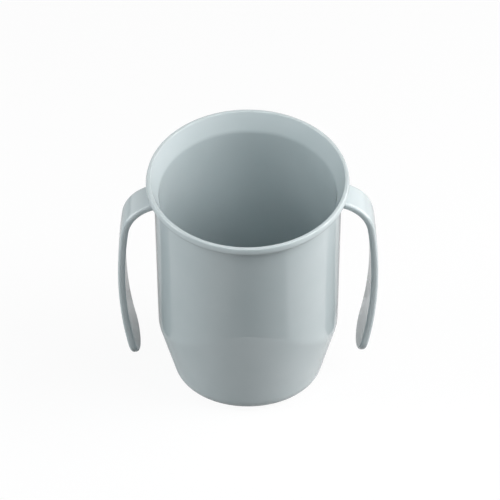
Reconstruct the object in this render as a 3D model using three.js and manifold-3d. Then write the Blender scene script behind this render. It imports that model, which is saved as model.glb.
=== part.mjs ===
// Slanted training cup with two open handles, moulded from one plastic.
// The moulding is divided where its form changes: lip, slanted wall, tapered foot, floor and two handles.
// Millimetres, +Z up. The low side of the rim faces -Y, and the middle of the underside is the origin.
import * as THREE from 'three';
import { mergeVertices } from 'three/addons/utils/BufferGeometryUtils.js';
import Module from 'manifold-3d';

const degree = Math.PI / 180;

// Slanted tube: its axis leans towards -Y, and the rim lies square to that axis
const slant = 12 * degree;
const rimHeight = 91.35; // centre of the rim above the table
const leanHeight = 21.2; // where the slanted axis crosses the foot's upright axis
const tubeDiameter = 64.6; // outside, just under the flare
const tubeDraft = 0.46 * degree; // the tube narrows downwards
const wall = 1.6;

// Drinking lip: inside, a flare leans out to the top edge, and outside the lip swells over a crease.
// Depths are measured from the rim along the slanted axis.
const lipOverhang = 2.7; // how far the swell stands out from the tube
const lipTopWidth = 1.5; // from the inner edge of the top to the outermost point
const lipCreaseDepth = 3.7;
const flareDepth = 7;

// Tapered foot: an upright cone that meets the front of the tube at the bend
const bendHeight = 40.4;
const footDiameter = 49.4; // of the cone at the table, before its edge is rounded
const baseEdgeRadius = 8;
const footLand = 3.5; // width of the flat ring around the floor
const floorThickness = 2;

// Handles: open straps with a tight shoulder, a long bow and a round free tip
const fingerGap = 10.5; // between the tube under the flare and the widest part of the bow
const handleTopDepth = 4.9; // top of the shoulder's circle
const shoulderRadius = 15.6; // outer face
const bowRadius = 168; // outer face
const bowLift = 1.2; // widest part of the bow above the middle of the handle
const tipHeight = 12.4; // free tip above the table
const strapThickness = 2.45;
const strapRootWidth = 10.8;
const strapTipWidth = 16;
const handleForward = 2; // middle of the strap in front of the slanted axis

const seam = 0.3; // clearance between neighbouring pieces

const roundSides = 72;
const arcSteps = 4; // half the number of steps in each arc
const mergeDistance = 1e-4;
const plasticColour = 0xbcc8cb;

const tubeRadius = tubeDiameter / 2;
const tubeReach = rimHeight / Math.cos(slant) + tubeDiameter; // well below the table all round
const rimForward = (rimHeight - leanHeight) * Math.tan(slant);

const wasm = await Module();
wasm.setup();

// A closed geometry as a solid that can be cut and joined
function solidOf(geometry) {
  geometry.deleteAttribute('normal');
  geometry.deleteAttribute('uv');
  const merged = mergeVertices(geometry, mergeDistance);
  const corners = merged.index.array;
  const triangles = [];
  for (let i = 0; i < corners.length; i += 3) {
    const [a, b, c] = corners.slice(i, i + 3);
    if (a !== b && b !== c && c !== a) triangles.push(a, b, c);
  }
  return new wasm.Manifold(new wasm.Mesh({
    numProp: 3,
    vertProperties: Float32Array.from(merged.attributes.position.array),
    triVerts: Uint32Array.from(triangles),
  }));
}

function geometryOf(solid) {
  const { vertProperties, triVerts } = solid.getMesh();
  const geometry = new THREE.BufferGeometry();
  geometry.setAttribute('position', new THREE.BufferAttribute(vertProperties, 3));
  geometry.setIndex(new THREE.BufferAttribute(triVerts, 1));
  geometry.computeVertexNormals();
  return geometry;
}

function pieceOf(name, solid) {
  const material = new THREE.MeshStandardMaterial({ color: plasticColour, roughness: 0.25, metalness: 0 });
  const mesh = new THREE.Mesh(geometryOf(solid), material);
  mesh.name = name;
  return mesh;
}

// A profile of radius and height turned about Z
function turned(profile) {
  return new THREE.LatheGeometry(profile.getPoints(arcSteps), roundSides).rotateX(Math.PI / 2);
}

// An outline of X and Z carried along Y, centred on Y = 0
function carriedAlongY(outline, width) {
  const options = { depth: width, bevelEnabled: false, curveSegments: 4 * arcSteps };
  return new THREE.ExtrudeGeometry(outline, options).translate(0, 0, -width / 2).rotateX(Math.PI / 2);
}

// The slanted tube's own frame: its origin is the centre of the rim, and its Z axis is the tube's axis
const slantedFrame = new THREE.Group();
slantedFrame.position.set(0, -rimForward, rimHeight);
slantedFrame.rotation.x = slant;
slantedFrame.updateMatrixWorld();
const toSlanted = slantedFrame.matrixWorld.clone().invert();

function tubeRadiusAt(depth) {
  return tubeRadius - (depth - flareDepth) * Math.tan(tubeDraft);
}

// A filled tube from far below the table to a depth under the rim, inset from the outer face
function tubeGeometry(inset, topDepth) {
  const profile = new THREE.Path();
  profile.moveTo(0, -tubeReach);
  profile.lineTo(tubeRadiusAt(tubeReach) - inset, -tubeReach);
  profile.lineTo(tubeRadiusAt(topDepth) - inset, -topDepth);
  profile.lineTo(0, -topDepth);
  return turned(profile);
}

// Foot: the cone runs from the foot's diameter at the table to the front of the tube at the bend's height
const frontDepth = (rimHeight - bendHeight - tubeRadiusAt(0) * Math.sin(slant))
  / (Math.cos(slant) - Math.tan(tubeDraft) * Math.sin(slant));
const frontReach = rimForward + tubeRadiusAt(frontDepth) * Math.cos(slant) - frontDepth * Math.sin(slant);
const taper = Math.atan((frontReach - footDiameter / 2) / bendHeight);

// A filled cone with a rounded lower edge, inset from the outer face, with its underside at a height
function footGeometry(inset, bottom, edgeRadius, top) {
  const coneRadiusAt = (z) => footDiameter / 2 - inset / Math.cos(taper) + z * Math.tan(taper);
  const edgeHeight = bottom + edgeRadius;
  const flatRadius = coneRadiusAt(edgeHeight) - edgeRadius / Math.cos(taper);
  const profile = new THREE.Path();
  profile.moveTo(0, bottom);
  profile.lineTo(flatRadius, bottom);
  profile.absarc(flatRadius, edgeHeight, edgeRadius, -Math.PI / 2, -taper, false);
  profile.lineTo(coneRadiusAt(top), top);
  profile.lineTo(0, top);
  return turned(profile);
}

// Lip: its swell is part of an ellipse, from the crease over the outermost point to the top edge at the rim
const lipTopEdge = Math.acos((lipOverhang - lipTopWidth) / lipOverhang);
const swellHalfDepth = lipCreaseDepth / (1 + Math.sin(lipTopEdge));

function addSwell(profile, gap, from, to) {
  const middle = swellHalfDepth - lipCreaseDepth;
  profile.absellipse(tubeRadius, middle, lipOverhang + gap, swellHalfDepth + gap, from, to, false);
}

function lipSolid() {
  const profile = new THREE.Path();
  profile.moveTo(tubeRadius - wall, -flareDepth);
  profile.lineTo(tubeRadius, -flareDepth);
  addSwell(profile, 0, -Math.PI / 2, 0);
  addSwell(profile, 0, 0, lipTopEdge);
  profile.lineTo(tubeRadius - wall, -flareDepth);
  return solidOf(turned(profile));
}

// Everything the tube and the lip fill, grown by the seam, to trim the handles' roots
function rootTrimSolid() {
  const leavesTube = -Math.acos(seam / (lipOverhang + seam));
  const profile = new THREE.Path();
  profile.moveTo(0, -tubeReach);
  profile.lineTo(tubeRadiusAt(tubeReach) + seam, -tubeReach);
  profile.lineTo(tubeRadius + seam, -flareDepth - seam);
  addSwell(profile, seam, leavesTube, 0);
  profile.lineTo(tubeRadius + lipOverhang + seam, 0);
  profile.lineTo(0, 0);
  return solidOf(turned(profile));
}

function wallSolid() {
  const topDepth = flareDepth + seam;
  const shell = solidOf(tubeGeometry(0, topDepth)).subtract(solidOf(tubeGeometry(wall, flareDepth)));
  const span = 2 * tubeReach;
  const aboveBend = new THREE.BoxGeometry(span, span, span).translate(0, 0, bendHeight + span / 2);
  return shell.intersect(solidOf(aboveBend.applyMatrix4(toSlanted)));
}

// The floor's disc stops short of the rounded edge by the foot's land
const flatBaseRadius = footDiameter / 2 + baseEdgeRadius * (Math.tan(taper) - 1 / Math.cos(taper));
const floorRadius = flatBaseRadius - footLand;

function floorProfile(radius, bottom, top) {
  const profile = new THREE.Path();
  profile.moveTo(0, bottom);
  profile.lineTo(radius, bottom);
  profile.lineTo(radius, top);
  profile.lineTo(0, top);
  return profile;
}

function footSolid() {
  const upright = slantedFrame.matrixWorld;
  const outerTube = solidOf(tubeGeometry(0, flareDepth).applyMatrix4(upright));
  const innerTube = solidOf(tubeGeometry(wall, flareDepth).applyMatrix4(upright));
  const outerCone = solidOf(footGeometry(0, 0, baseEdgeRadius, bendHeight - seam));
  const innerCone = solidOf(footGeometry(wall, floorThickness, baseEdgeRadius - wall, bendHeight + seam));
  const floorHole = solidOf(turned(floorProfile(floorRadius + seam, -seam, floorThickness + seam)));
  return outerTube.intersect(outerCone).subtract(innerTube.intersect(innerCone)).subtract(floorHole);
}

// Handle: the strap's free end, and the widest point of its bow
const tipRadius = strapTipWidth / 2;
const tipCentreHeight = tipHeight + tipRadius + handleForward * Math.sin(slant);
const tipDepth = (rimHeight - tipCentreHeight) / Math.cos(slant) + tipRadius;
const bowDepth = (handleTopDepth + tipDepth) / 2 - bowLift;
const handleReach = tubeRadius + fingerGap + strapThickness;

// The strap seen from the front: two arcs that meet without a corner, with the inner face beside the outer.
// It is carried wider than any strap, and its own width is cut afterwards.
function strapCurve() {
  const shoulderHeight = -handleTopDepth - shoulderRadius;
  const bowCentreX = handleReach - bowRadius;
  const rise = shoulderHeight + bowDepth;
  const join = Math.asin(rise / (bowRadius - shoulderRadius));
  const shoulderX = bowCentreX + (bowRadius - shoulderRadius) * Math.cos(join);
  const tip = -Math.asin((tipDepth - bowDepth) / bowRadius);
  const outline = new THREE.Shape();
  outline.absarc(shoulderX, shoulderHeight, shoulderRadius, Math.PI / 2, join, true);
  outline.absarc(bowCentreX, -bowDepth, bowRadius, join, tip, true);
  outline.absarc(bowCentreX, -bowDepth, bowRadius - strapThickness, tip, join, false);
  outline.absarc(shoulderX, shoulderHeight, shoulderRadius - strapThickness, join, Math.PI / 2, false);
  return carriedAlongY(outline, strapRootWidth + strapTipWidth);
}

// The strap seen from the side: it widens from its root to a half-round tip
function strapWidths() {
  const outline = new THREE.Shape();
  outline.moveTo(strapRootWidth / 2, 0);
  outline.lineTo(-strapRootWidth / 2, 0);
  outline.lineTo(-tipRadius, tipRadius - tipDepth);
  outline.absarc(0, tipRadius - tipDepth, tipRadius, Math.PI, 2 * Math.PI, false);
  outline.lineTo(strapRootWidth / 2, 0);
  return carriedAlongY(outline, 2 * (handleReach + shoulderRadius)).rotateZ(Math.PI / 2);
}

function handleSolid(turn) {
  const strap = solidOf(strapCurve()).intersect(solidOf(strapWidths()));
  const placed = solidOf(geometryOf(strap).rotateZ(turn).translate(0, -handleForward, 0));
  return placed.subtract(rootTrimSolid());
}

slantedFrame.add(
  pieceOf('rim_lip', lipSolid()),
  pieceOf('slanted_wall', wallSolid()),
  pieceOf('right_handle', handleSolid(0)),
  pieceOf('left_handle', handleSolid(Math.PI)),
);

const cup = new THREE.Group();
cup.add(
  slantedFrame,
  pieceOf('tapered_foot', footSolid()),
  pieceOf('base_floor', solidOf(turned(floorProfile(floorRadius, 0, floorThickness)))),
);

export default cup;
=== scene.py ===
import math
import bpy
import numpy as np
from mathutils import Matrix, Vector


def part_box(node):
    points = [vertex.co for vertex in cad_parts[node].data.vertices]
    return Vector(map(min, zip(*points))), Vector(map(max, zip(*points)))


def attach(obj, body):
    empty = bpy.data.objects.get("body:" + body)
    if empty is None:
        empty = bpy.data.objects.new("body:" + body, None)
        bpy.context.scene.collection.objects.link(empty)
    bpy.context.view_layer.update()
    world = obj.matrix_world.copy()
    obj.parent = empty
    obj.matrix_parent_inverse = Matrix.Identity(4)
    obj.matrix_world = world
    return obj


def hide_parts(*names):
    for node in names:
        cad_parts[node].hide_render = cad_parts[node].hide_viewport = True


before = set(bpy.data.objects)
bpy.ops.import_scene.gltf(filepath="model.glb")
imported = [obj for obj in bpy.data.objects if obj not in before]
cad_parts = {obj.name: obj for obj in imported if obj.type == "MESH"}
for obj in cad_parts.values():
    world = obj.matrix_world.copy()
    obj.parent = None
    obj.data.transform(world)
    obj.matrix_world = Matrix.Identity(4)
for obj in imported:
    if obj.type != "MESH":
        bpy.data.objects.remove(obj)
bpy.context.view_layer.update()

# Slanted training cup with two open handles, one plastic moulding.
# Metres, +Z up. The low side of the rim faces -Y, and the middle of the underside is the origin.
print("frame:", ", ".join(sorted(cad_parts)))

mm = 0.001
rightTurn = math.pi / 2
white = (1, 1, 1, 1)


def linearColour(hexColour):
    # sRGB hex to linear: (c + 0.055) / 1.055 to the power 2.4, with the straight toe below 0.04045
    srgb = np.array([int(hexColour[i:i + 2], 16) for i in (1, 3, 5)]) / 255
    linear = np.where(srgb <= 0.04045, srgb / 12.92, ((srgb + 0.055) / 1.055) ** 2.4)
    return (*linear.tolist(), 1.0)


def addNode(tree, kind, settings, inputs):
    # One node, its settings, and its inputs: a socket is linked and anything else is set as a value
    node = tree.nodes.new(kind)
    for name, value in settings.items():
        setattr(node, name, value)
    for name, value in inputs.items():
        if isinstance(value, bpy.types.NodeSocket):
            tree.links.new(value, node.inputs[name])
        else:
            node.inputs[name].default_value = value
    return node


def emptyMaterial(name):
    material = bpy.data.materials.new(name)
    material.use_nodes = True
    material.node_tree.nodes.clear()
    return material


def meshPiece(name, points, faces):
    mesh = bpy.data.meshes.new(name)
    mesh.from_pydata(points.tolist(), [], faces)
    piece = bpy.data.objects.new(name, mesh)
    bpy.context.scene.collection.objects.link(piece)
    return piece


def ringPiece(name, rings, firstPole, lastPole):
    # A closed skin: rows of rings joined by quads, with a fan of triangles to a pole at each end
    rows, columns = rings.shape[:2]
    points = np.vstack([[firstPole], rings.reshape(-1, 3), [lastPole]])
    here = 1 + np.arange(rows * columns).reshape(rows, columns)
    beside = np.roll(here, -1, axis=1)
    quads = np.stack([here[:-1], beside[:-1], beside[1:], here[1:]], -1).reshape(-1, 4)
    start = np.stack([np.zeros(columns, int), beside[0], here[0]], -1)
    end = np.stack([here[-1], beside[-1], np.full(columns, len(points) - 1)], -1)
    piece = meshPiece(name, points, start.tolist() + quads.tolist() + end.tolist())
    piece.data.polygons.foreach_set("use_smooth", np.ones(len(piece.data.polygons), bool))
    piece.data.update()
    return piece


# Cup shell: lip, slanted wall, tapered foot and floor in one skin

cupShell = {
    "slant": math.radians(12),
    "rimHeight": 91.35 * mm,  # centre of the rim above the table
    "leanHeight": 21.2 * mm,  # where the slanted axis crosses the upright one
    "tubeRadius": 32.3 * mm,  # outside, just under the flare
    "tubeDraft": math.radians(0.46),
    "wall": 1.6 * mm,
    "flareDepth": 7 * mm,
    "flareRound": 5 * mm,  # inside, between tube and flare
    "lipCrease": (3.7 * mm, 0.35 * mm),  # depth and round of the crease under the lip, outside
    "lipWidest": 1.9 * mm,  # depth where the swell above that crease is widest
    "lipTop": (0.35 * mm, 1.5 * mm),  # how far the outer and inner edges of the top lie inside that
    "lipTopRound": (0.45 * mm, 0.35 * mm),  # outer and inner
    "footRadius": 24.7 * mm,  # of the cone at the table
    "bendRound": 18 * mm,  # between tube and cone
    "baseEdgeRadius": 8 * mm,
    "gateDimple": (4.5 * mm, 0.5 * mm),  # radius and depth, around the moulding gate under the floor
    "gateNub": (1.1 * mm, 0.35 * mm),
    "columns": 224,
    "bodyRows": 120,
    "bodyPasses": 30,  # of moving the rows onto the skin
    "flatRows": 22,
    "flatCrowding": 1.6,  # how much those rows crowd to the middle
    "edgeRows": 18,
    "swellRows": (20, 24),  # below and above the widest place of the lip
    "roundRows": 10,  # of each small round at the lip, and of the lean of the flare
    "tubeEndRows": 6,
}

slant = cupShell["slant"]
wall = cupShell["wall"]
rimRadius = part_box("rim_lip")[1].x
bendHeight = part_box("slanted_wall")[0].z
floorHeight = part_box("base_floor")[1].z
rimForward = (cupShell["rimHeight"] - cupShell["leanHeight"]) * math.tan(slant)
rimCentre = np.array([0, -rimForward, cupShell["rimHeight"]])
slantedAxis = np.array([0, -math.sin(slant), math.cos(slant)])
slantedAcross = np.array([0, math.cos(slant), math.sin(slant)])
around = np.linspace(0, 2 * math.pi, cupShell["columns"], endpoint=False)
belowFlare = 2 * cupShell["flareDepth"]  # where the rows of the lip meet those of the wall


def tubeRadiusAt(depth):
    # The tube narrows by its draft from the flare down
    return cupShell["tubeRadius"] - (depth - cupShell["flareDepth"]) * math.tan(cupShell["tubeDraft"])


# The cone meets the front of the tube at the bend's height, and that gives its taper
frontFall = cupShell["rimHeight"] - bendHeight - cupShell["tubeRadius"] * math.sin(slant)
frontDepth = frontFall / math.cos(slant)
frontReach = rimForward + tubeRadiusAt(frontDepth) * math.cos(slant) - frontDepth * math.sin(slant)
taper = math.atan((frontReach - cupShell["footRadius"]) / bendHeight)


def skinGap(points, inset):
    # Gap to the skin: the larger of the gaps to tube and cone, rounded where they cross.
    # The parabola's band is the bend's radius times tan(half the angle) sin(angle), as for a fillet.
    fromRim = points - rimCentre
    along = fromRim @ slantedAxis
    radial = fromRim - along[..., None] * slantedAxis
    tubeReach = np.linalg.norm(radial, axis=-1)
    tubeGap = tubeReach - tubeRadiusAt(-along) + inset
    coneReach = np.hypot(points[..., 0], points[..., 1])
    coneGap = (coneReach - cupShell["footRadius"]) * math.cos(taper)
    coneGap = coneGap - points[..., 2] * math.sin(taper) + inset
    coneNormal = points / coneReach[..., None] * math.cos(taper)
    coneNormal[..., 2] = -math.sin(taper)
    cosine = np.sum(radial / tubeReach[..., None] * coneNormal, axis=-1)
    angle = np.arccos(np.clip(cosine, -1, 1))
    band = (cupShell["bendRound"] - inset) * np.tan(angle / 2) * np.sin(angle) + 1e-9  # never nil
    overlap = np.maximum(band - np.abs(tubeGap - coneGap), 0)
    return np.maximum(tubeGap, coneGap) + overlap**2 / (4 * band)


def ringsAt(centres, tilts, radii):
    # centre + radius (cos t, sin t cos tilt, sin t sin tilt)
    spokes = np.stack(np.broadcast_arrays(
        np.cos(around), np.sin(around) * np.cos(tilts), np.sin(around) * np.sin(tilts)), -1)
    return centres[:, None] + radii[..., None] * spokes


def uprightRings(profile):
    # A profile of radius and height turned about the upright axis
    centres = np.outer(profile[:, 1], [0, 0, 1])
    return ringsAt(centres, np.zeros((len(profile), 1)), profile[:, :1])


def slantedRings(profile):
    # A profile of radius and depth under the rim, turned about the slanted axis
    centres = rimCentre - np.outer(profile[:, 1], slantedAxis)
    return ringsAt(centres, np.full((len(profile), 1), slant), profile[:, :1])


def bodyRings(inset, lowHeight, topDepth):
    # Rings that fan from level at the foot to the rim's slant.
    # Each radius moves in until its gap to the skin is nil.
    share = np.linspace(0, 1, cupShell["bodyRows"])[:, None]
    top = rimCentre - topDepth * slantedAxis
    centres = (1 - share) * np.array([0, 0, lowHeight]) + share * top
    radii = np.full((len(share), len(around)), cupShell["tubeRadius"])
    for step in range(cupShell["bodyPasses"]):
        radii = radii - skinGap(ringsAt(centres, share * slant, radii), inset)
    return ringsAt(centres, share * slant, radii)


def baseProfile(inset, bottom, edgeRadius):
    # Radius and height, from the middle outwards: a flat bottom, then an arc that touches
    # the flat and the cone, flat + edge cos t and edge height + edge sin t
    edgeHeight = bottom + edgeRadius
    coneRadius = cupShell["footRadius"] - inset / math.cos(taper) + edgeHeight * math.tan(taper)
    flatRadius = coneRadius - edgeRadius / math.cos(taper)
    share = np.linspace(0, 1, cupShell["flatRows"] + 2)[1:-1] ** cupShell["flatCrowding"]
    flat = np.stack([flatRadius * share, np.full_like(share, bottom)], -1)
    turn = np.linspace(-rightTurn, -taper, cupShell["edgeRows"])
    edge = np.stack([flatRadius + edgeRadius * np.cos(turn), edgeHeight + edgeRadius * np.sin(turn)], -1)
    return np.vstack([flat, edge])


def filletedCorner(before, corner, after, radius):
    # The arc of a radius that touches both arms of a corner: centre + radius (-middle cos t + side sin t)
    arms = np.array([before, after]) - corner
    arms = arms / np.linalg.norm(arms, axis=1)[:, None]
    half = math.acos(arms[0] @ arms[1]) / 2
    middle = (arms[0] + arms[1]) / np.linalg.norm(arms[0] + arms[1])
    centre = corner + middle * radius / math.sin(half)
    swing = np.linspace(-(rightTurn - half), rightTurn - half, cupShell["roundRows"])[:, None]
    side = arms[1] - (arms[1] @ middle) * middle
    side = side / np.linalg.norm(side)
    return centre + radius * (-middle * np.cos(swing) + side * np.sin(swing))


def lipProfile():
    # Radius and depth, from the outside of the tube over the lip to its inside.
    # The swell is a quarter ellipse from the crease to its widest place, tube + overhang cos t
    # and widest + height sin t, and from there a parabola to the top.
    # Inside, the flare is a straight lean from the top to the tube.
    tube, widest = cupShell["tubeRadius"], cupShell["lipWidest"]
    crease, creaseRound = cupShell["lipCrease"]
    outerTop, innerTop = [np.array([rimRadius - inset, 0]) for inset in cupShell["lipTop"]]
    outerRound, innerRound = cupShell["lipTopRound"]
    underRows, overRows = cupShell["swellRows"]
    roundRows, tubeEndRows = cupShell["roundRows"], cupShell["tubeEndRows"]
    overhang = rimRadius - tube
    outerEnd = np.array([tubeRadiusAt(belowFlare), belowFlare])
    innerEnd = outerEnd - (wall, 0)
    turn = np.linspace(0, rightTurn, roundRows)[:-1]
    hollow = np.stack(
        [tube + creaseRound * (1 - np.cos(turn)), crease + creaseRound * (1 - np.sin(turn))], -1)
    turn = np.linspace(math.acos(creaseRound / overhang), 0, underRows)
    under = np.stack([tube + overhang * np.cos(turn), widest + (crease - widest) * np.sin(turn)], -1)
    share = np.linspace(0, 1, overRows)[1:]
    over = np.stack([rimRadius - cupShell["lipTop"][0] * share**2, widest * (1 - share)], -1)
    over = over[np.linalg.norm(over - outerTop, axis=1) > 0.8 * outerRound]  # the round takes the rest
    outerEdge = filletedCorner(over[-1], outerTop, innerTop, outerRound)
    flareCorner = np.array([tube - wall, cupShell["flareDepth"]])
    innerEdge = filletedCorner(outerTop, innerTop, flareCorner, innerRound)
    flare = filletedCorner(innerTop, flareCorner, innerEnd, cupShell["flareRound"])
    return np.vstack([
        np.linspace(outerEnd, hollow[0], tubeEndRows)[1:-1], hollow, under, over, outerEdge, innerEdge,
        np.linspace(innerEdge[-1], flare[0], roundRows)[1:-1], flare,
        np.linspace(flare[-1], innerEnd, tubeEndRows)[1:-1],
    ])


def buildShell():
    # Under the floor, outside, over the lip, inside and back to the middle of the floor.
    # The gate's dimple is (1 - r r) squared and its nub is the root of (1 - r r).
    under = baseProfile(0, 0, cupShell["baseEdgeRadius"])
    dimpleRadius, dimpleDepth = cupShell["gateDimple"]
    nubRadius, nubHeight = cupShell["gateNub"]
    dimple = np.clip(1 - (under[:, 0] / dimpleRadius)**2, 0, 1)**2
    nub = np.clip(1 - (under[:, 0] / nubRadius)**2, 0, 1)
    under[:, 1] += dimpleDepth * dimple - nubHeight * np.sqrt(nub)
    inside = baseProfile(wall, floorHeight, cupShell["baseEdgeRadius"] - wall)
    rings = np.concatenate([
        uprightRings(under),
        bodyRings(0, under[-1, 1], belowFlare)[1:],
        slantedRings(lipProfile()),
        bodyRings(wall, inside[-1, 1], belowFlare)[:0:-1],
        uprightRings(inside)[::-1],
    ])
    return ringPiece("cup_shell", rings, (0, 0, dimpleDepth - nubHeight), (0, 0, floorHeight))


shell = buildShell()
print("shell:", len(shell.data.polygons), "faces")


# Handles: a strap with soft edges along a tight shoulder and a long bow, with a round free tip

strapHandle = {
    "topDepth": 4.9 * mm,
    "shoulderRadius": 15.6 * mm,  # outer face
    "bowRadius": 168 * mm,  # outer face
    "bowLift": 1.2 * mm,  # widest part of the bow above the middle of the handle
    "thickness": 2.45 * mm,
    "rootWidth": 10.8 * mm,
    "tipWidth": 16 * mm,
    "forward": 2 * mm,  # middle of the strap in front of the slanted axis
    "edgeRound": (1.0 * mm, 0.8 * mm),  # of the outer and the inner face
    "crown": 0.12 * mm,  # swell in the middle of each face
    "twist": math.radians(1.26),  # the inner face turns a little to the front
    "rootRound": 1 * mm,  # fillet where the strap leaves the wall
    "rootSink": 0.3 * mm,  # how far the strap's end lies in the wall
    "faceColumns": 36,
    "shoulderRows": 44,
    "shoulderCrowding": 1.4,  # how much those rows crowd to the wall
    "bowRows": 80,
    "tipRows": 30,
}


def buildHandle(name, side):
    s = strapHandle
    half = s["thickness"] / 2
    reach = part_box("right_handle")[1].x
    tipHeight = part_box("right_handle")[0].z
    tipRadius = s["tipWidth"] / 2
    tipFall = cupShell["rimHeight"] - tipHeight - tipRadius - s["forward"] * math.sin(slant)
    tipMiddle = tipFall / math.cos(slant)
    tipDepth = tipMiddle + tipRadius
    bowDepth = (s["topDepth"] + tipDepth) / 2 - s["bowLift"]
    shoulderDepth = s["topDepth"] + s["shoulderRadius"]
    join = math.asin((bowDepth - shoulderDepth) / (s["bowRadius"] - s["shoulderRadius"]))
    bowX = reach - s["bowRadius"]
    shoulderX = bowX + (s["bowRadius"] - s["shoulderRadius"]) * math.cos(join)

    # Section: outer face from edge to edge, then the inner face back. Columns crowd towards the edges.
    spread = np.sin(np.linspace(-rightTurn, rightTurn, s["faceColumns"]))
    across = np.concatenate([spread, spread[::-1]])
    facing = np.concatenate([np.ones_like(spread), -np.ones_like(spread)])
    edgeRound = np.where(facing > 0, *s["edgeRound"])

    def sectionAt(depth):
        # Places across, heights of the faces, and how far each place looks to the edge and outwards.
        # The half width grows evenly down to the circle of the tip. A height is half the thickness
        # plus crown (1 - across across), less a quarter round at the outline's edge.
        # Then places and heights turn by the twist.
        straight = s["rootWidth"] / 2 + (tipRadius - s["rootWidth"] / 2) * depth / tipMiddle
        past = np.maximum(depth - tipMiddle, 0)
        halfWidth = np.where(past > 0, np.sqrt(np.maximum(tipRadius**2 - past**2, 0)), straight)
        offset = halfWidth * across
        toEdge = np.where(past > 0, tipRadius - np.hypot(past, offset), halfWidth - np.abs(offset))
        drop = edgeRound - np.clip(toEdge, 0, edgeRound)
        height = half - edgeRound + np.sqrt(edgeRound**2 - drop**2)
        height = height + s["crown"] * np.clip(1 - across**2, 0, 1) * np.clip(halfWidth / tipRadius, 0, 1)
        edgeward = np.sign(across) * drop / edgeRound
        twistCos, twistSin = math.cos(s["twist"]), math.sin(s["twist"])
        turnedOffset = offset * twistCos + facing * height * twistSin
        turnedHeight = facing * height * twistCos - offset * twistSin
        return turnedOffset, turnedHeight, edgeward, facing * np.sqrt(1 - edgeward**2)

    def strapPoints(offset, x, depth):
        # The strap's own coordinates to the cup's: across, along the slanted axis,
        # and mirrored for the left side
        points = rimCentre - depth[..., None] * slantedAxis
        points = points + (offset - s["forward"])[..., None] * slantedAcross
        points[..., 0] += side * x
        return points

    # Shoulder: centre + radius cos t outwards and centre - radius sin t down. Rows run from the wall
    # to the bow, and near the wall the section swells into a fillet.
    rootReach = cupShell["tubeRadius"] - s["rootSink"]
    offset, height, edgeward, outward = sectionAt(np.full((1, 1), s["topDepth"]))
    swell = s["rootRound"]
    flank = offset + swell * edgeward - s["forward"]
    rootX = np.sqrt(rootReach**2 - flank**2)
    midRadius = s["shoulderRadius"] - half
    root = np.arccos((rootX - shoulderX) / (midRadius + height + swell * outward))
    share = np.linspace(0, 1, s["shoulderRows"])[:-1, None] ** s["shoulderCrowding"]
    turn = root + (join - root) * share
    offset, height, edgeward, outward = sectionAt(shoulderDepth - midRadius * np.sin(turn))
    x = shoulderX + (midRadius + height) * np.cos(turn)
    depth = shoulderDepth - (midRadius + height) * np.sin(turn)
    gap = np.hypot(x, offset - s["forward"]) - tubeRadiusAt(depth)
    near = 1 - np.clip(gap / swell, 0, 1)
    growth = swell * (1 - np.sqrt(1 - near**2))
    offset = offset + growth * edgeward
    arcRadius = midRadius + (height + growth * outward)
    shoulder = strapPoints(
        offset, shoulderX + arcRadius * np.cos(turn), shoulderDepth - arcRadius * np.sin(turn))

    # Bow and tip: the same with the bow's centre and radius. Rows crowd towards the end of the tip.
    joinDepth = shoulderDepth - midRadius * math.sin(join)
    tipTurn = np.linspace(0, rightTurn, s["tipRows"])[1:-1]
    rowDepth = np.concatenate([
        np.linspace(joinDepth, tipMiddle, s["bowRows"]), tipMiddle + tipRadius * np.sin(tipTurn)])[:, None]
    bowMiddle = s["bowRadius"] - half
    turn = np.arcsin((bowDepth - rowDepth) / bowMiddle)
    offset, height, edgeward, outward = sectionAt(rowDepth)
    arcRadius = bowMiddle + height
    bow = strapPoints(offset, bowX + arcRadius * np.cos(turn), bowDepth - arcRadius * np.sin(turn))

    rings = np.concatenate([shoulder, bow])
    if side > 0:
        rings = rings[:, ::-1]  # so that the faces point outwards on both sides
    endTurn = math.asin((bowDepth - tipDepth) / bowMiddle)
    endRadius = bowMiddle + (s["edgeRound"][1] - s["edgeRound"][0]) / 2
    tipEnd = strapPoints(np.zeros(1), bowX + endRadius * math.cos(endTurn), np.full(1, tipDepth))[0]
    return ringPiece(name, rings, rings[0].mean(0), tipEnd)


handles = [buildHandle("left_strap", -1), buildHandle("right_strap", 1)]
print("handles:", [len(handle.data.polygons) for handle in handles], "faces")


# Finish: high-density polyethylene, coloured through and moulded in a polished tool.
# The eye sees a smooth gloss, slightly wavy reflections, and very faint flow clouds in the colour.

plasticFinish = {
    "colour": "#bcc8cb",
    "cloudColour": "#b7c4c7",
    "cloudSize": 22 * mm,
    "noiseSpan": (0.3, 0.7),  # where most of a noise's values lie
    "peelSize": 2.5 * mm,  # real orange peel is finer; this is as coarse as it needs to show
    "peelHeight": 0.004 * mm,
    "drawSize": (1.4 * mm, 60 * mm),  # width and length of the tool's faint marks along the slant
    "drawHeight": 0.002 * mm,
    "roughness": (0.02, 0.045),
    "handlingSize": 9 * mm,
    "refraction": 1.53,
}


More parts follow.
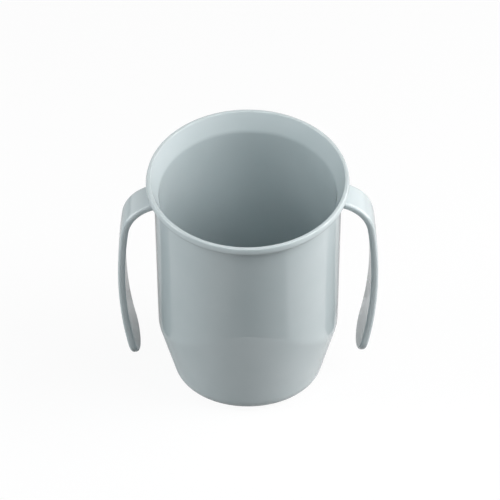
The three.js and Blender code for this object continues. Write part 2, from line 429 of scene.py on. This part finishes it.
def polyethylene():
    p = plasticFinish
    material = emptyMaterial("moulded_polyethylene")
    tree = material.node_tree
    place = addNode(tree, "ShaderNodeTexCoord", {}, {}).outputs["Object"]
    clouds = addNode(tree, "ShaderNodeTexNoise", {}, {
        "Vector": place, "Scale": 1 / p["cloudSize"], "Detail": 3, "Roughness": 0.5})
    ramp = addNode(tree, "ShaderNodeValToRGB", {}, {"Fac": clouds.outputs["Fac"]})
    colours = (p["cloudColour"], p["colour"])
    for element, position, colour in zip(ramp.color_ramp.elements, p["noiseSpan"], colours):
        element.position = position
        element.color = linearColour(colour)
    handling = addNode(tree, "ShaderNodeTexNoise", {}, {
        "Vector": place, "Scale": 1 / p["handlingSize"], "Detail": 4, "Roughness": 0.6})
    gloss = addNode(tree, "ShaderNodeMapRange", {}, {
        "Value": handling.outputs["Fac"], "From Min": p["noiseSpan"][0], "From Max": p["noiseSpan"][1],
        "To Min": p["roughness"][0], "To Max": p["roughness"][1]})
    peel = addNode(tree, "ShaderNodeTexNoise", {}, {
        "Vector": place, "Scale": 1 / p["peelSize"], "Detail": 1, "Roughness": 0.4})
    drawWidth, drawLength = p["drawSize"]
    along = addNode(tree, "ShaderNodeMapping", {"vector_type": "TEXTURE"}, {
        "Vector": place, "Rotation": (slant, 0, 0), "Scale": (drawWidth, drawWidth, drawLength)})
    draw = addNode(tree, "ShaderNodeTexNoise", {}, {
        "Vector": along.outputs["Vector"], "Scale": 1, "Detail": 2})
    marks = addNode(tree, "ShaderNodeBump", {}, {
        "Strength": 1, "Distance": p["drawHeight"], "Height": draw.outputs["Fac"]})
    bump = addNode(tree, "ShaderNodeBump", {}, {
        "Strength": 1, "Distance": p["peelHeight"], "Height": peel.outputs["Fac"],
        "Normal": marks.outputs["Normal"]})
    shader = addNode(tree, "ShaderNodeBsdfPrincipled", {}, {
        "Base Color": ramp.outputs["Color"], "Roughness": gloss.outputs["Result"],
        "IOR": p["refraction"], "Normal": bump.outputs["Normal"]})
    addNode(tree, "ShaderNodeOutputMaterial", {}, {"Surface": shader.outputs["BSDF"]})
    return material


plastic = polyethylene()
for piece, nodes in zip(
        [shell, *handles],
        [("rim_lip", "slanted_wall", "tapered_foot", "base_floor"), ("left_handle",), ("right_handle",)]):
    piece.data.materials.append(plastic)
    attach(piece, "root")
    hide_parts(*nodes)
print("finish:", plastic.name)


# Studio: a white surround, a pale floor, a card that paints a dark reflection in the gloss and shows
# nowhere else, and softboxes in front and at both sides

studio = {
    "floorSide": 6.0,
    "floorColour": "#ecf1f3",
    "floorBounce": 0.15,  # share of that colour in the light that the floor throws back on the cup
    "floorGlow": 0.93,  # share of plain white that the camera sees on the floor; the rest keeps the shadow
    # Painted reflection: in the gloss the floor is greyer beyond the card's near edge than by the foot
    "floorGloss": (0.55, 0.9),  # share of the floor's colour in reflections, further away and near the foot
    "floorSheen": 0.2,  # share of the glow in reflections
    # The card lies on the floor in front, hidden from the camera, from bounce light and from shadows, and
    # paints a dark reflection in the gloss of the front wall. It is a sector of a ring around the foot, in
    # degrees from the front, and darkens from left to right.
    "card": {"near": 57 * mm, "far": 260 * mm, "from": -45, "to": 41, "lift": 0.2 * mm, "columns": 40},
    # Colours of the painted reflection, pale on the left and dark towards the right
    "cardFade": {"from": -40 * mm, "to": -3 * mm, "pale": "#cfcfcf", "dark": "#4c4c4c"},
    "aimHeight": 50 * mm,  # the softboxes face this height of the upright axis
    # Name, azimuth and elevation in degrees, distance, width and height, radiance and colour
    "softboxes": [
        ("frontFill", 0, 33, 1.6, (1.0, 0.8), 2.5, "#ffffff"),
        ("rightBack", 100, 15, 0.7, (0.5, 0.9), 3.0, "#fff3ef"),
        ("rightSide", 72, 15, 0.7, (0.3, 0.9), 3.8, "#ffffff"),
        ("rightHigh", 72, 45, 0.7, (0.3, 0.7), 1.8, "#fff3ef"),
        ("rightFront", 50, 45, 0.8, (0.3, 0.5), 4.7, "#ffffff"),
        ("rightLow", 97, 4, 0.7, (0.5, 0.4), 0.8, "#ffffff"),
        ("leftSide", -72, 15, 0.7, (0.3, 0.9), 4.5, "#ffffff"),
        ("leftLow", -97, 4, 0.7, (0.5, 0.4), 2.9, "#ffffff"),
    ],
}


def towards(azimuth, elevation):
    # Unit direction: (sin a cos e, -cos a cos e, sin e), with the azimuth from the front to the right
    level = math.cos(elevation)
    return Vector((math.sin(azimuth) * level, -math.cos(azimuth) * level, math.sin(elevation)))


def seenDirectly(tree, gloss):
    # 1 for rays from the camera or through glass, a share for rays from a gloss, otherwise 0
    path = addNode(tree, "ShaderNodeLightPath", {}, {}).outputs
    straight = addNode(tree, "ShaderNodeMath", {"operation": "MAXIMUM"}, {
        0: path["Is Camera Ray"], 1: path["Is Transmission Ray"]})
    seen = addNode(tree, "ShaderNodeMath", {"operation": "MULTIPLY_ADD", "use_clamp": True}, {
        0: path["Is Glossy Ray"], 1: gloss, 2: straight.outputs[0]})
    return seen.outputs[0]


def buildSurround():
    world = bpy.data.worlds.new("surround")
    bpy.context.scene.world = world
    world.use_nodes = True
    tree = world.node_tree
    tree.nodes.clear()
    back = addNode(tree, "ShaderNodeBackground", {}, {"Color": white, "Strength": seenDirectly(tree, 1)})
    addNode(tree, "ShaderNodeOutputWorld", {}, {"Surface": back.outputs["Background"]})


def floorPaper():
    # Matt paper that glows white to the camera. Its colour is darker in the light it throws on the cup, and
    # in the gloss it is a painted reflection, paler near the foot and greyer further out.
    material = emptyMaterial("floor_paper")
    tree = material.node_tree
    place = addNode(tree, "ShaderNodeTexCoord", {}, {}).outputs["Object"]
    away = addNode(tree, "ShaderNodeVectorMath", {"operation": "LENGTH"}, {0: place})
    near = addNode(tree, "ShaderNodeMath", {"operation": "LESS_THAN"}, {
        0: away.outputs["Value"], 1: studio["card"]["near"]})
    gloss = addNode(tree, "ShaderNodeMapRange", {}, {
        "Value": near.outputs[0], "To Min": studio["floorGloss"][0], "To Max": studio["floorGloss"][1]})
    share = addNode(tree, "ShaderNodeMapRange", {}, {
        "Value": seenDirectly(tree, studio["floorSheen"]), "To Max": studio["floorGlow"]})
    bounce = addNode(tree, "ShaderNodeValToRGB", {}, {"Fac": seenDirectly(tree, gloss.outputs["Result"])})
    pale = linearColour(studio["floorColour"])
    bounce.color_ramp.elements[0].color = (*[studio["floorBounce"] * level for level in pale[:3]], 1)
    bounce.color_ramp.elements[1].color = pale
    matt = addNode(tree, "ShaderNodeBsdfDiffuse", {}, {"Color": bounce.outputs["Color"]})
    glow = addNode(tree, "ShaderNodeEmission", {}, {"Color": white, "Strength": 1})
    mix = addNode(tree, "ShaderNodeMixShader", {}, {
        "Fac": share.outputs["Result"], 1: matt.outputs["BSDF"], 2: glow.outputs["Emission"]})
    addNode(tree, "ShaderNodeOutputMaterial", {}, {"Surface": mix.outputs["Shader"]})
    return material


def buildFloor():
    corners = studio["floorSide"] / 2 * np.array([[-1, -1, 0], [1, -1, 0], [1, 1, 0], [-1, 1, 0]])
    floor = meshPiece("floor", corners, [(0, 1, 2, 3)])
    floor.data.materials.append(floorPaper())


def paintedReflectionCard():
    # Painted reflection: a matt colour, pale on the left and dark on the right, seen only in the gloss of
    # the front wall
    material = emptyMaterial("painted_reflection_card")
    tree = material.node_tree
    fade = studio["cardFade"]
    place = addNode(tree, "ShaderNodeTexCoord", {}, {}).outputs["Object"]
    across = addNode(tree, "ShaderNodeSeparateXYZ", {}, {"Vector": place})
    darker = addNode(tree, "ShaderNodeMapRange", {}, {
        "Value": across.outputs["X"], "From Min": fade["from"], "From Max": fade["to"]})
    shade = addNode(tree, "ShaderNodeValToRGB", {}, {"Fac": darker.outputs["Result"]})
    shade.color_ramp.elements[0].color = linearColour(fade["pale"])
    shade.color_ramp.elements[1].color = linearColour(fade["dark"])
    matt = addNode(tree, "ShaderNodeBsdfDiffuse", {}, {"Color": shade.outputs["Color"]})
    addNode(tree, "ShaderNodeOutputMaterial", {}, {"Surface": matt.outputs["BSDF"]})
    return material


def buildCard():
    # Two arcs around the foot, near and far (sin t, -cos t), joined by quads
    c = studio["card"]
    turn = np.radians(np.linspace(c["from"], c["to"], c["columns"]))
    spokes = np.stack([np.sin(turn), -np.cos(turn), np.zeros_like(turn)], -1)
    edges = np.vstack([c["near"] * spokes, c["far"] * spokes]) + (0, 0, c["lift"])
    rows = np.arange(len(turn) - 1)
    faces = np.stack([rows, rows + len(turn), rows + 1 + len(turn), rows + 1], -1)
    card = meshPiece("painted_reflection_sheet", edges, faces.tolist())
    # Hidden from the camera, from bounce light and from shadows, so the card is only a painted reflection
    # in the gloss
    card.visible_camera = False
    card.visible_diffuse = False
    card.visible_shadow = False
    card.data.materials.append(paintedReflectionCard())


def buildSoftbox(name, azimuth, elevation, distance, size, radiance, colour):
    direction = towards(math.radians(azimuth), math.radians(elevation))
    lamp = bpy.data.lights.new(name, "AREA")
    lamp.shape = "RECTANGLE"
    lamp.size, lamp.size_y = size
    lamp.energy = radiance * math.pi * lamp.size * lamp.size_y  # pi times area for an even lamp
    lamp.color = linearColour(colour)[:3]
    softbox = bpy.data.objects.new(name, lamp)
    softbox.location = Vector((0, 0, studio["aimHeight"])) + distance * direction
    softbox.rotation_euler = direction.to_track_quat("Z", "Y").to_euler()
    softbox.visible_camera = False
    bpy.context.scene.collection.objects.link(softbox)


bpy.context.scene.view_settings.view_transform = "Standard"
buildSurround()
buildFloor()
buildCard()
for softbox in studio["softboxes"]:
    buildSoftbox(*softbox)
print("studio:", len(studio["softboxes"]), "softboxes")


# Camera: a long lens, looking down on the low side of the rim

cameraSetup = {
    "elevation": math.radians(33.24),
    "turn": math.radians(-0.5),
    "roll": math.radians(-0.3),
    "distance": 1.404,
    "focalPixels": 3983,
    "imageSide": 500,
    "sensorWidth": 36,
    "clipEnd": 20,
    "target": (0, 0, 45.6 * mm),
    "targetPixel": (247.75, 265.85),  # where the target lands in the image
}


def buildCamera():
    # The camera aims beside the target, so that the target lands on its pixel without a lens shift
    c = cameraSetup
    back = towards(c["turn"], c["elevation"])
    target = Vector(c["target"])
    facing = (-back).to_track_quat("-Z", "Y").to_matrix()
    pixel = c["distance"] / c["focalPixels"]
    acrossPixels = c["imageSide"] / 2 - c["targetPixel"][0]
    upPixels = c["targetPixel"][1] - c["imageSide"] / 2
    location = target + c["distance"] * back
    aim = target + facing @ Vector((acrossPixels * pixel, upPixels * pixel, 0))
    lens = bpy.data.cameras.new("camera")
    lens.sensor_width = c["sensorWidth"]
    lens.lens = c["focalPixels"] / c["imageSide"] * c["sensorWidth"]
    lens.clip_end = c["clipEnd"]
    camera = bpy.data.objects.new("camera", lens)
    turned = (aim - location).to_track_quat("-Z", "Y").to_matrix() @ Matrix.Rotation(c["roll"], 3, "Z")
    camera.matrix_world = Matrix.Translation(location) @ turned.to_4x4()
    bpy.context.scene.collection.objects.link(camera)
    bpy.context.scene.camera = camera
    return camera


camera = buildCamera()
print("camera:", round(camera.data.lens, 1), "mm lens")
